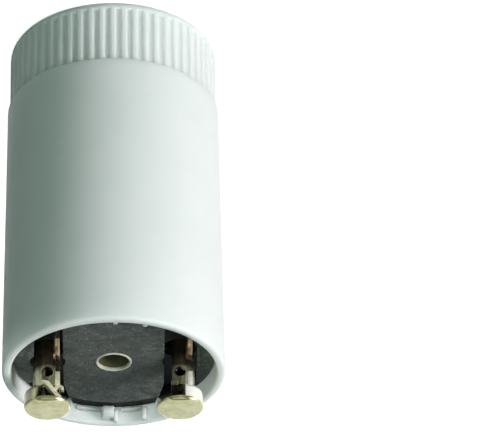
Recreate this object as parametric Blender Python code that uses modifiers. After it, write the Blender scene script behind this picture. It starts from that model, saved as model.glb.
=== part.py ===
"""Fluorescent lamp starter, standing on its ribbed crown with its two contacts pointing up.

The origin is at the centre of the crown's flat face. +Z runs along the canister's axis towards
the contacts, which stand on the X axis. Left and right are those of someone who looks along +Y
with the starter hanging contacts down, so left is +X. The glow switch, its capacitor and their
leads hang from the base plate inside the canister.
"""

import math

import bmesh
import bpy
from mathutils import Matrix, Vector

MM = 0.001
WELD = 0.001 * MM
QUARTER = math.pi / 2
PARTS = "fluorescent_starter"
CUTTERS = "cutters"

# Canister: a deep cup, slightly wider at its mouth
CAN_LENGTH = 36.5 * MM
RIM_RADIUS = 10.75 * MM
BODY_DRAFT = 0.27 * MM
LEDGE_HEIGHT = 7.0 * MM
LEDGE_STEP = 0.22 * MM
LEDGE_ROUND = 0.1 * MM
CROWN_ROUND = 0.88 * MM
CROWN_THICKNESS = 1.2 * MM
RIM_ROUND = 0.18 * MM
RIM_OUTER_ROUND = 0.35 * MM
MOUTH_WALL = 0.85 * MM
BAND_WALL = 1.0 * MM
CAVITY_ROUND = 0.8 * MM
CAN_STEPS = 96

# Ribs of the crown, left standing between grooves
RIB_COUNT = 58
GROOVE_DEPTH = 0.28 * MM
GROOVE_MOUTH_SHARE = 0.5
GROOVE_FLOOR_SHARE = 0.28
GROOVE_START = 0.95 * MM

# Base plate, pressed into the mouth from the open end
PLATE_RECESS = 1.4 * MM
PLATE_THICKNESS = 2.6 * MM
PLATE_CLEARANCE = 0.2 * MM
PLATE_FLANGE = 1.2 * MM
PLATE_STEP = 0.33 * MM
PLATE_ROUND = 0.3 * MM
PLATE_STEPS = 72
CHANNEL_DEPTH = 1.5 * MM
CHANNEL_INNER_REACH = 1.5 * MM
CHANNEL_LEFT_REACH = 1.3 * MM
CHANNEL_RIGHT_REACH = 1.65 * MM
FLARE_START = 4.5 * MM
FLARE_SLOPE = 0.19
POCKET_RADIUS = 1.7 * MM
POCKET_DEPTH = 0.4 * MM
CENTRE_HOLE_RADIUS = 1.5 * MM
CENTRE_HOLE_CHAMFER = 0.2 * MM

# Snap lug, beads, keys and seats inside the mouth. Offsets are along X
LUG_OFFSET = 0.6 * MM
LUG_WIDTH = 1.2 * MM
LUG_REACH = 1.35 * MM
LUG_HEIGHT = 0.75 * MM
LUG_DROP = 0.35 * MM
KEY_OFFSET = -0.18 * MM
KEY_WIDTH = 0.4 * MM
KEY_REACH = 0.6 * MM
KEY_DROP = 0.1 * MM
SIDE_KEY_OFFSET = -3.1 * MM
SIDE_KEY_WIDTH = 0.4 * MM
BEAD_LEFT_OFFSET = 2.55 * MM
BEAD_LEFT_LENGTH = 2.6 * MM
BEAD_RIGHT_OFFSET = -1.875 * MM
BEAD_RIGHT_LENGTH = 2.35 * MM
BEAD_REACH = 0.35 * MM
BEAD_RISE = 0.15 * MM
SEAT_WIDTH = 1.0 * MM
SEAT_REACH = 1.1 * MM
SEAT_LENGTH = 6.0 * MM
SEAT_ANGLES = (45, 135, 225, 315)
ROOT = 0.3 * MM

# Contacts, each folded from one piece of sheet brass
PIN_INSET = 4.4 * MM
SHEET = 0.45 * MM
PIN_REACH = 3.9 * MM
DISC_RADIUS = 2.25 * MM
DISC_ROUND = 0.4 * MM
DISC_SHEET = 0.25 * MM
DISC_FRONT = 1.9 * MM
HEAD_RADIUS = 2.2 * MM
HEAD_HEIGHT = 1.95 * MM
NECK_RADIUS = 1.4 * MM
FOLD_RADIUS = 0.35 * MM
FOOT_RADIUS = 2.1 * MM
FOLD_LEFT = (125, 150)
FOLD_RIGHT = (125, 105)
HEAD_FRONT_LEFT = 61
HEAD_FRONT_RIGHT = 78
OPENING_SPARE = 5
TURN_STEPS = 24
DISC_STEPS = 36
PIN_HOLE_RADIUS = 0.55 * MM
PIN_HOLE_HEIGHT = 0.42 * MM
PIN_CLEARANCE = 0.12 * MM
LEAF_OFFSET = -0.95 * MM
LEAF_LENGTH = 4.2 * MM
LEAF_DROP = 0.2 * MM
LEAF_RISE = 1.85 * MM
LEAF_FRONT = 1.25 * MM
LEAF_BACK = 1.0 * MM
LEAF_SPINE = 0.7 * MM
LEAF_TAB_LOW = 0.35 * MM
LEAF_CLEARANCE = 0.1 * MM
WEB_WIDTH = 0.65 * MM
WEB_INSET = -0.1 * MM
WEB_PLACE_LEFT = -0.28 * MM
WEB_LEAN_LEFT = 2.2 * MM
WEB_TURN_LEFT = -26
WEB_PLACE_RIGHT = 0.55 * MM
WEB_LEAN_RIGHT = 0.0 * MM
WEB_TURN_RIGHT = 0
CURL_RADIUS = 0.5 * MM
CURL_SHEET = 0.28 * MM
CURL_SWEEP = 200
CURL_OFFSET = -1.1 * MM
CURL_FRONT = 0.95 * MM
CURL_LAP = 0.12 * MM

# Glow switch: glass tube, pressed foot, leads, hairpin strip and rod
BULB_SPARE = 0.5 * MM
BULB_SHIFT = 0.1 * MM
BULB_LENGTH = 21.0 * MM
BULB_WALL = 0.55 * MM
BULB_DOME = 3.4 * MM
BULB_DROP = 3.4 * MM
TIP_RADIUS = 0.9 * MM
TIP_LENGTH = 1.5 * MM
GLASS_STEPS = 32
STEM_CLEARANCE = 0.12 * MM
STEM_WALL = 0.45 * MM
STEM_NECK_RADIUS = 2.2 * MM
STEM_SKIRT = 2.2 * MM
PRESS_WIDTH = 4.6 * MM
PRESS_DEPTH = 1.7 * MM
PRESS_LENGTH = 3.6 * MM
PRESS_ROUND = 0.5 * MM
LEAD_RADIUS = 0.22 * MM
LEAD_CLEARANCE = 0.1 * MM
LEAD_PLACE = 0.45 * MM
LEAD_SHOW = 0.5 * MM
LEAD_END = 0.5 * MM
POST_SPACING = 2.4 * MM
POST_LENGTH = 4.2 * MM
ELECTRODE_STUB = 0.9 * MM
ELECTRODE_RADIUS = 0.4 * MM
ELECTRODE_LENGTH = 6.0 * MM
STRIP_WIDTH = 2.0 * MM
STRIP_THICKNESS = 0.2 * MM
STRIP_LENGTH = 7.4 * MM
STRIP_TOP = 1.0 * MM
STRIP_FREE_TOP = 2.6 * MM
CONTACT_GAP = 0.35 * MM

# Capacitor
CAP_GAP = 1.9 * MM
CAP_EXTRA_WIDTH = 1.2 * MM
CAP_EXTRA_DEPTH = 0.1 * MM
CAP_HEIGHT = 10.6 * MM
CAP_ROUND = 1.1 * MM
CAP_DROP = 3.2 * MM
CAP_LEAD_SPACING = 7.5 * MM
CAP_SOCKET_DEPTH = 0.8 * MM

# Levels and radii that follow from the sizes above
PLATE_FACE = CAN_LENGTH - PLATE_RECESS
PLATE_BACK = PLATE_FACE - PLATE_THICKNESS
CHANNEL_FLOOR = PLATE_FACE - CHANNEL_DEPTH
LEDGE_RADIUS = RIM_RADIUS - BODY_DRAFT
BAND_RADIUS = LEDGE_RADIUS - LEDGE_STEP
CAVITY_RADIUS = BAND_RADIUS - BAND_WALL
MOUTH_RADIUS = RIM_RADIUS - MOUTH_WALL
PLATE_RADIUS = MOUTH_RADIUS - PLATE_CLEARANCE
PLATE_LAND_RADIUS = PLATE_RADIUS - PLATE_FLANGE
PIN_TOP = CAN_LENGTH + PIN_REACH
HEAD_BACK = PIN_TOP - HEAD_HEIGHT
PIN_X = RIM_RADIUS - PIN_INSET
CHANNEL_INNER = PIN_X - CHANNEL_INNER_REACH
BULB_RADIUS = CAVITY_RADIUS / 2 - BULB_SPARE
BULB_OFFSET = BULB_RADIUS + BULB_SHIFT
BULB_FOOT = PLATE_BACK - BULB_DROP
PRESS_TOP = BULB_FOOT - STEM_SKIRT
PRESS_BOTTOM = PRESS_TOP - PRESS_LENGTH
POST_X = POST_SPACING / 2
CAP_WIDTH = CAVITY_RADIUS + CAP_EXTRA_WIDTH
CAP_DEPTH = BULB_RADIUS + CAP_EXTRA_DEPTH
CAP_OFFSET = BULB_SHIFT - CAP_GAP - CAP_DEPTH / 2
CAP_TOP = PLATE_BACK - CAP_DROP
BEYOND = 2.0 * MM


def clear_scene():
    for obj in list(bpy.data.objects):
        bpy.data.objects.remove(obj)


def make_collection(name):
    group = bpy.data.collections.new(name)
    bpy.context.scene.collection.children.link(group)


def make_material(name, colour, roughness, metallic=0.0, transmission=0.0):
    material = bpy.data.materials.new(name)
    material.use_nodes = True
    shader = material.node_tree.nodes["Principled BSDF"]
    shader.inputs["Base Color"].default_value = (*colour, 1.0)
    shader.inputs["Roughness"].default_value = roughness
    shader.inputs["Metallic"].default_value = metallic
    shader.inputs["Transmission Weight"].default_value = transmission
    material.diffuse_color = (*colour, 1.0)
    return material


def add_object(name, data, group=PARTS, material=None):
    obj = bpy.data.objects.new(name, data)
    bpy.data.collections[group].objects.link(obj)
    if material:
        data.materials.append(material)
    if group == CUTTERS:
        obj.hide_render = True
        obj.display_type = "WIRE"
    return obj


def add_bmesh(name, bm, group=PARTS, material=None):
    """An object of the closed or open shapes in bm."""
    bmesh.ops.recalc_face_normals(bm, faces=bm.faces)
    mesh = bpy.data.meshes.new(name)
    bm.to_mesh(mesh)
    bm.free()
    return add_object(name, mesh, group, material)


def arc(centre_r, centre_z, radius, start, end, steps=4):
    """Points of an arc in a profile, with angles in degrees."""
    turn = [math.radians(start + (end - start) * i / steps) for i in range(steps + 1)]
    return [(centre_r + radius * math.cos(a), centre_z + radius * math.sin(a)) for a in turn]


def turned(name, profile, steps, group=PARTS, material=None, centre=(0, 0)):
    """A profile of (radius, height) points turned about a vertical axis through centre."""
    mesh = bpy.data.meshes.new(name)
    points = [(radius, 0, height) for radius, height in profile]
    mesh.from_pydata(points, [(i, i + 1) for i in range(len(points) - 1)], [])
    obj = add_object(name, mesh, group, material)
    obj.location = (*centre, 0)
    screw = obj.modifiers.new("Turn", "SCREW")
    screw.steps = screw.render_steps = steps
    screw.use_merge_vertices = True
    screw.merge_threshold = WELD
    return obj


def block(name, size, group=PARTS, material=None):
    bm = bmesh.new()
    bmesh.ops.create_cube(bm, size=1)
    bmesh.ops.scale(bm, vec=size, verts=bm.verts)
    return add_bmesh(name, bm, group, material)


def round_edges(obj, radius, segments):
    bevel = obj.modifiers.new("Rounding", "BEVEL")
    bevel.width = radius
    bevel.segments = segments


def boolean(target, tool, operation="DIFFERENCE"):
    modifier = target.modifiers.new(tool.name, "BOOLEAN")
    modifier.operation = operation
    modifier.object = tool


def flat_piece(name, outlines, thickness, location, rotation=(0, 0, 0)):
    """Helper of one thickness, with its (x, y) outlines on its middle plane."""
    curve = bpy.data.curves.new(name + "_outline", "CURVE")
    curve.dimensions = "2D"
    curve.fill_mode = "BOTH"
    curve.extrude = thickness / 2
    for outline in outlines:
        spline = curve.splines.new("POLY")
        spline.points.add(len(outline) - 1)
        spline.use_cyclic_u = True
        for point, (x, y) in zip(spline.points, outline):
            point.co = (x, y, 0, 1)
    guide = add_object(name + "_outline", curve, CUTTERS)
    graph = bpy.context.evaluated_depsgraph_get()
    mesh = bpy.data.meshes.new_from_object(guide.evaluated_get(graph))
    bpy.data.objects.remove(guide)
    bm = bmesh.new()
    bm.from_mesh(mesh)
    bpy.data.meshes.remove(mesh)
    bmesh.ops.remove_doubles(bm, verts=bm.verts, dist=WELD)
    piece = add_bmesh(name, bm, CUTTERS)
    piece.location = location
    piece.rotation_euler = rotation
    return piece


def round_piece(name, radius, length, location, rotation=(0, 0, 0), segments=12):
    """Cylindrical helper, centred on its location."""
    bm = bmesh.new()
    bmesh.ops.create_cone(
        bm, cap_ends=True, segments=segments, radius1=radius, radius2=radius, depth=length
    )
    piece = add_bmesh(name, bm, CUTTERS)
    piece.location = location
    piece.rotation_euler = rotation
    return piece


def add_sector(bm, section, start, end, steps):
    """A closed (radius, height) section turned about Z from one angle to another, in degrees."""
    turn = Matrix.Rotation(math.radians(start), 3, "Z")
    verts = [bm.verts.new(turn @ Vector((radius, 0, height))) for radius, height in section]
    face = bm.faces.new(verts)
    bmesh.ops.spin(
        bm,
        geom=[*verts, *face.edges, face],
        cent=(0, 0, 0),
        axis=(0, 0, 1),
        angle=math.radians(end - start),
        steps=steps,
    )


def polar(radius, angle):
    return (radius * math.cos(angle), radius * math.sin(angle))


def canister_profile():
    """From the centre of the inner floor, up the inner wall, over the rim and down to the crown."""
    inner_corner = arc(CAVITY_RADIUS - CAVITY_ROUND, CROWN_THICKNESS + CAVITY_ROUND, CAVITY_ROUND, -90, 0)
    rim_z = CAN_LENGTH - RIM_ROUND
    inner_rim = arc(MOUTH_RADIUS + RIM_ROUND, rim_z, RIM_ROUND, 180, 90, 2)
    outer_z = CAN_LENGTH - RIM_OUTER_ROUND
    outer_rim = arc(RIM_RADIUS - RIM_OUTER_ROUND, outer_z, RIM_OUTER_ROUND, 90, 0, 3)
    ledge = arc(LEDGE_RADIUS - LEDGE_ROUND, LEDGE_HEIGHT + LEDGE_ROUND, LEDGE_ROUND, 0, -90, 2)
    crown = arc(BAND_RADIUS - CROWN_ROUND, CROWN_ROUND, CROWN_ROUND, 0, -90, 5)
    return [
        (0, CROWN_THICKNESS),
        *inner_corner,
        (MOUTH_RADIUS, PLATE_BACK - SEAT_LENGTH),
        *inner_rim,
        *outer_rim,
        *ledge,
        (BAND_RADIUS, LEDGE_HEIGHT),
        *crown,
        (0, 0),
    ]


def make_grooves():
    """Cutter with one tapered groove for each gap between ribs."""
    pitch = 2 * math.pi / RIB_COUNT
    floor_radius = BAND_RADIUS - GROOVE_DEPTH
    outer_radius = BAND_RADIUS + GROOVE_DEPTH
    floor_half = pitch * GROOVE_FLOOR_SHARE / 2
    mouth_half = pitch * GROOVE_MOUTH_SHARE / 2
    outer_half = 2 * mouth_half - floor_half
    corners = (
        (floor_radius, -floor_half),
        (outer_radius, -outer_half),
        (outer_radius, outer_half),
        (floor_radius, floor_half),
    )
    middles = [index * pitch for index in range(RIB_COUNT)]
    outlines = [[polar(radius, middle + turn) for radius, turn in corners] for middle in middles]
    length = LEDGE_HEIGHT - GROOVE_START
    return flat_piece("crown_grooves", outlines, length, (0, 0, GROOVE_START + length / 2))


def add_mouth_sector(bm, section, offset, width, sides=(1, -1)):
    """A feature of the mouth's wall at an offset along X, on its far side (1) and near side (-1)."""
    middle = 90 - math.degrees(offset / MOUTH_RADIUS)
    half = math.degrees(width / MOUTH_RADIUS) / 2
    steps = max(1, round(2 * half / 4))
    for side in sides:
        add_sector(bm, section, side * middle - half, side * middle + half, steps)


def make_lugs():
    """The snap lug that hooks over the plate's far edge, and low beads on both sides of the mouth."""
    root = MOUTH_RADIUS + ROOT
    low = PLATE_FACE + PIN_CLEARANCE
    tip = MOUTH_RADIUS - LUG_REACH
    top = CAN_LENGTH - LUG_DROP
    lug = [(root, low), (tip, low), (tip, low + LUG_HEIGHT), (MOUTH_RADIUS - RIM_ROUND, top), (root, top)]
    bead_low = PLATE_FACE - PLATE_STEP + PIN_CLEARANCE
    bead_tip = MOUTH_RADIUS - BEAD_REACH
    bead = [
        (root, bead_low),
        (bead_tip, bead_low),
        (bead_tip, PLATE_FACE),
        (MOUTH_RADIUS, PLATE_FACE + BEAD_RISE),
        (root, PLATE_FACE + BEAD_RISE),
    ]
    bm = bmesh.new()
    add_mouth_sector(bm, lug, LUG_OFFSET, LUG_WIDTH, (1,))
    add_mouth_sector(bm, bead, BEAD_LEFT_OFFSET, BEAD_LEFT_LENGTH)
    add_mouth_sector(bm, bead, BEAD_RIGHT_OFFSET, BEAD_RIGHT_LENGTH)
    return add_bmesh("mouth_lugs", bm, CUTTERS)


def make_keys():
    """Upright ribs beside the lugs, and the four seats that the plate rests on."""
    root = MOUTH_RADIUS + ROOT
    low = PLATE_FACE + PIN_CLEARANCE
    top = CAN_LENGTH - KEY_DROP
    tip = MOUTH_RADIUS - KEY_REACH
    key = [(root, low), (tip, low), (tip, top - RIM_ROUND), (tip + RIM_ROUND, top), (root, top)]
    seat_top = PLATE_BACK - PIN_CLEARANCE
    seat_low = seat_top - SEAT_LENGTH
    seat_tip = MOUTH_RADIUS - SEAT_REACH
    seat = [
        (root, seat_low),
        (MOUTH_RADIUS - ROOT, seat_low),
        (seat_tip, seat_top - SEAT_REACH),
        (seat_tip, seat_top),
        (root, seat_top),
    ]
    bm = bmesh.new()
    add_mouth_sector(bm, key, KEY_OFFSET, KEY_WIDTH)
    add_mouth_sector(bm, key, SIDE_KEY_OFFSET, SIDE_KEY_WIDTH)
    half = math.degrees(SEAT_WIDTH / MOUTH_RADIUS) / 2
    for angle in SEAT_ANGLES:
        add_sector(bm, seat, angle - half, angle + half, 2)
    return add_bmesh("mouth_keys", bm, CUTTERS)


def make_canister(material):
    canister = turned("canister", canister_profile(), CAN_STEPS, material=material)
    boolean(canister, make_grooves())
    boolean(canister, make_lugs(), "UNION")
    boolean(canister, make_keys(), "UNION")


def channel_outline(side, reach):
    """A channel's plan, open at both ends, with its inner side flared towards the far edge."""
    end = PLATE_RADIUS + BEYOND
    outer = PIN_X + reach
    flare_end = CHANNEL_INNER - FLARE_SLOPE * (end - FLARE_START)
    points = [
        (CHANNEL_INNER, -end),
        (outer, -end),
        (outer, end),
        (flare_end, end),
        (CHANNEL_INNER, FLARE_START),
    ]
    return [(side * x, y) for x, y in points]


def make_channels():
    outlines = [channel_outline(1, CHANNEL_LEFT_REACH), channel_outline(-1, CHANNEL_RIGHT_REACH)]
    depth = CHANNEL_DEPTH + BEYOND
    return flat_piece("plate_channels", outlines, depth, (0, 0, CHANNEL_FLOOR + depth / 2))


def make_pin_seat(name, x):
    """Cutter for a contact's round pocket and the hole through its floor."""
    low = PLATE_BACK - BEYOND
    high = PLATE_FACE + BEYOND
    pocket = CHANNEL_FLOOR - POCKET_DEPTH
    hole = NECK_RADIUS + PIN_CLEARANCE
    profile = [
        (0, high),
        (POCKET_RADIUS, high),
        (POCKET_RADIUS, pocket),
        (hole, pocket),
        (hole, low),
        (0, low),
    ]
    return turned(name, profile, TURN_STEPS, CUTTERS, centre=(x, 0))


def make_centre_hole():
    high = PLATE_FACE + BEYOND
    wide = CENTRE_HOLE_RADIUS + CENTRE_HOLE_CHAMFER
    profile = [
        (0, high),
        (wide, high),
        (wide, PLATE_FACE),
        (CENTRE_HOLE_RADIUS, PLATE_FACE - CENTRE_HOLE_CHAMFER),
        (CENTRE_HOLE_RADIUS, PLATE_BACK - BEYOND),
        (0, PLATE_BACK - BEYOND),
    ]
    return turned("centre_hole", profile, TURN_STEPS, CUTTERS)


def make_base_plate(material):
    step = PLATE_FACE - PLATE_STEP
    edge = arc(PLATE_LAND_RADIUS - PLATE_ROUND, PLATE_FACE - PLATE_ROUND, PLATE_ROUND, 90, 0)
    profile = [
        (0, PLATE_FACE),
        *edge,
        (PLATE_LAND_RADIUS, step),
        (PLATE_RADIUS, step),
        (PLATE_RADIUS, PLATE_BACK),
        (0, PLATE_BACK),
    ]
    plate = turned("base_plate", profile, PLATE_STEPS, material=material)
    boolean(plate, make_channels())
    boolean(plate, make_pin_seat("pin_seat_left", PIN_X))
    boolean(plate, make_pin_seat("pin_seat_right", -PIN_X))
    boolean(plate, make_centre_hole())


def contact_section():
    """Middle line of the folded sheet, from the foot under the plate up the neck and round the head."""
    neck = NECK_RADIUS - SHEET / 2
    head = HEAD_RADIUS - SHEET / 2
    foot_z = PLATE_BACK - PIN_CLEARANCE - SHEET / 2
    shoulder_z = HEAD_BACK + SHEET / 2
    return [
        (FOOT_RADIUS, foot_z),
        *arc(neck + FOLD_RADIUS, foot_z + FOLD_RADIUS, FOLD_RADIUS, 270, 180, 2),
        *arc(neck + FOLD_RADIUS, shoulder_z - FOLD_RADIUS, FOLD_RADIUS, 180, 90, 2),
        *arc(head - FOLD_RADIUS, shoulder_z + FOLD_RADIUS, FOLD_RADIUS, -90, 0, 3),
        (head, PIN_TOP - SHEET / 2),
    ]


def add_folded_sheet(name, side, fold, material):
    """The rolled neck, foot and head wall as one open surface, thickened by the sheet.

    The fold gives how far the sheet goes round, in degrees from the outer side to the front and
    from there to the back.
    """
    front, back = fold
    start, end = (-front, back) if side > 0 else (180 - back, 180 + front)
    turn = Matrix.Rotation(math.radians(start), 3, "Z")
    bm = bmesh.new()
    verts = [bm.verts.new(turn @ Vector((radius, 0, height))) for radius, height in contact_section()]
    edges = [bm.edges.new(pair) for pair in zip(verts, verts[1:])]
    bmesh.ops.spin(
        bm,
        geom=[*verts, *edges],
        cent=(0, 0, 0),
        axis=(0, 0, 1),
        angle=math.radians(end - start),
        steps=TURN_STEPS,
    )
    contact = add_bmesh(name, bm, material=material)
    thicken = contact.modifiers.new("Sheet", "SOLIDIFY")
    thicken.thickness = SHEET
    thicken.offset = 0
    thicken.use_even_offset = True
    return contact


def make_head_opening(name, side, fold, wall_front):
    """Cutter that takes the head's wall and shoulder away at the front."""
    spare = fold[0] + OPENING_SPARE
    first, last = (-spare, -wall_front) if side > 0 else (180 + wall_front, 180 + spare)
    low = HEAD_BACK - SHEET / 4
    high = PIN_TOP + BEYOND
    inner = NECK_RADIUS - 2 * SHEET
    outer = DISC_RADIUS + BEYOND
    bm = bmesh.new()
    add_sector(bm, [(inner, low), (outer, low), (outer, high), (inner, high)], first, last, 8)
    return add_bmesh(name, bm, CUTTERS)


def make_contact_disc(name):
    """The head's disc: thin sheet with a rolled edge, sheared straight at the front."""
    middle = DISC_RADIUS - DISC_ROUND
    level = PIN_TOP - DISC_ROUND
    profile = [
        (0, PIN_TOP),
        *arc(middle, level, DISC_ROUND, 90, 0, 3),
        *arc(middle, level, DISC_ROUND - DISC_SHEET, 0, 90, 2),
        (0, PIN_TOP - DISC_SHEET),
    ]
    disc = turned(name, profile, DISC_STEPS, CUTTERS)
    front = block(name + "_front", (3 * DISC_RADIUS, BEYOND, 3 * DISC_ROUND), CUTTERS)
    front.location = (0, -DISC_FRONT - BEYOND / 2, PIN_TOP)
    boolean(disc, front)
    return disc


def make_leaf(name):
    """The sheet's flat leg: on edge along the channel, up beside the neck and forward to a tab."""
    low = CHANNEL_FLOOR + LEAF_CLEARANCE
    step = PLATE_FACE - LEAF_DROP
    tab = CAN_LENGTH + LEAF_TAB_LOW
    top = CAN_LENGTH + LEAF_RISE
    spine = LEAF_BACK - LEAF_SPINE
    outline = [
        (-LEAF_LENGTH, low),
        (LEAF_BACK, low),
        (LEAF_BACK, top),
        (-LEAF_FRONT, top),
        (-LEAF_FRONT, tab),
        (spine, tab),
        (spine, step),
        (-LEAF_LENGTH, step),
    ]
    return flat_piece(name, [outline], SHEET, (LEAF_OFFSET, 0, 0), (QUARTER, 0, QUARTER))


def make_curl(name):
    """The tab's rolled end, an arch of thinner sheet that opens towards the disc."""
    inner = CURL_RADIUS - CURL_SHEET
    half = SHEET / 2
    bm = bmesh.new()
    section = [(inner, -half), (CURL_RADIUS, -half), (CURL_RADIUS, half), (inner, half)]
    start = 270 - CURL_SWEEP / 2
    add_sector(bm, section, start, start + CURL_SWEEP, 8)
    curl = add_bmesh(name, bm, CUTTERS)
    centre_z = CAN_LENGTH + LEAF_RISE - CURL_LAP + CURL_RADIUS
    curl.location = (CURL_OFFSET, -CURL_FRONT, centre_z)
    curl.rotation_euler = (QUARTER, 0, 0)
    return curl


def make_web(name, side, place, lean, turn):
    """The narrow leg from the neck's front up to the disc, leaning towards the starter's axis."""
    low = HEAD_BACK - SHEET
    high = PIN_TOP - DISC_SHEET / 2
    low_x = -side * place
    high_x = -side * (place + lean)
    half = WEB_WIDTH / 2
    outline = [(low_x - half, low), (low_x + half, low), (high_x + half, high), (high_x - half, high)]
    front = -NECK_RADIUS + WEB_INSET + SHEET / 2
    return flat_piece(name, [outline], SHEET, (0, front, 0), (QUARTER, 0, math.radians(turn)))


def make_cross_hole(name):
    """Cutter for the round hole in the neck's front wall."""
    place = (0, -NECK_RADIUS - SHEET / 2, CAN_LENGTH + PIN_HOLE_HEIGHT)
    return round_piece(name, PIN_HOLE_RADIUS, NECK_RADIUS * 2, place, (QUARTER, 0, 0), 20)


def make_contact(name, side, fold, wall_front, web, material, extras=()):
    contact = add_folded_sheet(name, side, fold, material)
    helpers = [
        (make_head_opening(name + "_opening", side, fold, wall_front), "DIFFERENCE"),
        (make_contact_disc(name + "_disc"), "UNION"),
        (make_leaf(name + "_leaf"), "UNION"),
        (make_web(name + "_web", side, *web), "UNION"),
        (make_cross_hole(name + "_hole"), "DIFFERENCE"),
        *[(extra, "UNION") for extra in extras],
    ]
    for helper, operation in helpers:
        boolean(contact, helper, operation)
        helper.location.x += side * PIN_X
    contact.location.x = side * PIN_X


def make_bulb_envelope(material):
    """Glass tube, open at its foot, with a rounded end and a sealed exhaust tip."""
    inner = BULB_RADIUS - BULB_WALL
    dome_z = BULB_FOOT - BULB_LENGTH + BULB_DOME
    quarter = [math.radians(90 * i / 8) for i in range(9)]
    inside = [(inner * math.sin(a), dome_z - (BULB_DOME - BULB_WALL) * math.cos(a)) for a in quarter]
    outside = [(BULB_RADIUS * math.cos(a), dome_z - BULB_DOME * math.sin(a)) for a in quarter]
    outside = [point for point in outside if point[0] > TIP_RADIUS]
    tip_z = dome_z - BULB_DOME - TIP_LENGTH
    tip = [
        (TIP_RADIUS * 0.8, dome_z - BULB_DOME),
        (TIP_RADIUS * 0.45, tip_z + TIP_LENGTH * 0.25),
        (0, tip_z),
    ]
    profile = [*inside, (inner, BULB_FOOT), (BULB_RADIUS, BULB_FOOT), *outside, *tip]
    turned("bulb_envelope", profile, GLASS_STEPS, material=material, centre=(0, BULB_OFFSET))


def make_press():
    """The flattened glass of the foot, where the leads pass through."""
    length = PRESS_LENGTH + STEM_WALL
    press = block("stem_press", (PRESS_WIDTH, PRESS_DEPTH, length), CUTTERS)
    press.location = (0, BULB_OFFSET, PRESS_BOTTOM + length / 2)
    round_edges(press, PRESS_ROUND, 2)
    return press


def make_lead_bore(name, x):
    """Cutter for a lead's way through the press."""
    place = (x, BULB_OFFSET, PRESS_TOP - PRESS_LENGTH / 2)
    return round_piece(name, LEAD_RADIUS + LEAD_CLEARANCE, PRESS_LENGTH * 2, place)


def make_bulb_stem(material):
    """Flared glass skirt that closes the tube, with the press below it."""
    skirt = BULB_RADIUS - BULB_WALL - STEM_CLEARANCE
    floor = PRESS_TOP + STEM_WALL
    profile = [
        (0, floor),
        (STEM_NECK_RADIUS - STEM_WALL, floor),
        (STEM_NECK_RADIUS - STEM_WALL / 2, floor + STEM_SKIRT / 3),
        (skirt - STEM_WALL, BULB_FOOT),
        (skirt, BULB_FOOT),
        (skirt, BULB_FOOT - STEM_WALL),
        (STEM_NECK_RADIUS + STEM_WALL / 2, PRESS_TOP + STEM_SKIRT / 3),
        (STEM_NECK_RADIUS, PRESS_TOP),
        (0, PRESS_TOP),
    ]
    stem = turned("bulb_stem", profile, GLASS_STEPS, material=material, centre=(0, BULB_OFFSET))
    boolean(stem, make_press(), "UNION")
    boolean(stem, make_lead_bore("lead_bore_left", POST_X))
    boolean(stem, make_lead_bore("lead_bore_right", -POST_X))


def smooth_route(knots, samples=4):
    """Points of a smooth curve through the knots. Its first and last stretches stay straight."""
    points = [Vector(knots[0])]
    for before, start, end, after in zip(knots, knots[1:], knots[2:], knots[3:]):
        before, start, end, after = map(Vector, (before, start, end, after))
        lead_in, lead_out = (end - before) / 2, (after - start) / 2
        for index in range(samples):
            t = index / samples
            points.append(
                start * (2 * t**3 - 3 * t**2 + 1)
                + lead_in * (t**3 - 2 * t**2 + t)
                + end * (3 * t**2 - 2 * t**3)
                + lead_out * (t**3 - t**2)
            )
    return [*points, Vector(knots[-2]), Vector(knots[-1])]


def make_wire(name, knots, radius, material):
    curve = bpy.data.curves.new(name, "CURVE")
    curve.dimensions = "3D"
    curve.bevel_depth = radius
    curve.bevel_resolution = 2
    curve.use_fill_caps = True
    points = smooth_route(knots)
    spline = curve.splines.new("POLY")
    spline.points.add(len(points) - 1)
    for point, place in zip(spline.points, points):
        point.co = (*place, 1)
    add_object(name, curve, material=material)


def make_bulb_leads(material):
    """Each lead runs from its post in the tube, through the press and up into its contact."""
    bend_z = PLATE_BACK - BULB_DROP * 0.6
    pass_z = PLATE_BACK - PIN_CLEARANCE - SHEET - 1.1 * MM
    ends = (
        ("bulb_lead_left", 1, PRESS_BOTTOM - POST_LENGTH, HEAD_BACK + LEAD_SHOW),
        ("bulb_lead_right", -1, PRESS_BOTTOM - ELECTRODE_STUB, CAN_LENGTH - LEAD_END),
    )
    for name, side, low, high in ends:
        pin = side * PIN_X + LEAD_PLACE
        knots = [
            (side * POST_X, BULB_OFFSET, low),
            (side * POST_X, BULB_OFFSET, BULB_FOOT),
            (side * POST_X * 1.8, BULB_OFFSET * 0.86, bend_z),
            (pin * 0.75, BULB_OFFSET * 0.34, bend_z + 0.15 * MM),
            (pin, 0, pass_z + 0.4 * MM),
            (pin, 0, PLATE_BACK),
            (pin, 0, high),
        ]
        make_wire(name, knots, LEAD_RADIUS, material)


def make_fixed_electrode(material):
    """Thick rod that carries on from the right-hand lead inside the tube."""
    top = PRESS_BOTTOM - ELECTRODE_STUB - LEAD_CLEARANCE
    low = top - ELECTRODE_LENGTH
    edge = ELECTRODE_RADIUS / 3
    profile = [
        (0, top),
        (ELECTRODE_RADIUS - edge, top),
        (ELECTRODE_RADIUS, top - edge),
        (ELECTRODE_RADIUS, low + edge),
        (ELECTRODE_RADIUS - edge, low),
        (0, low),
    ]
    turned("fixed_electrode", profile, 20, material=material, centre=(-POST_X, BULB_OFFSET))


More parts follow.
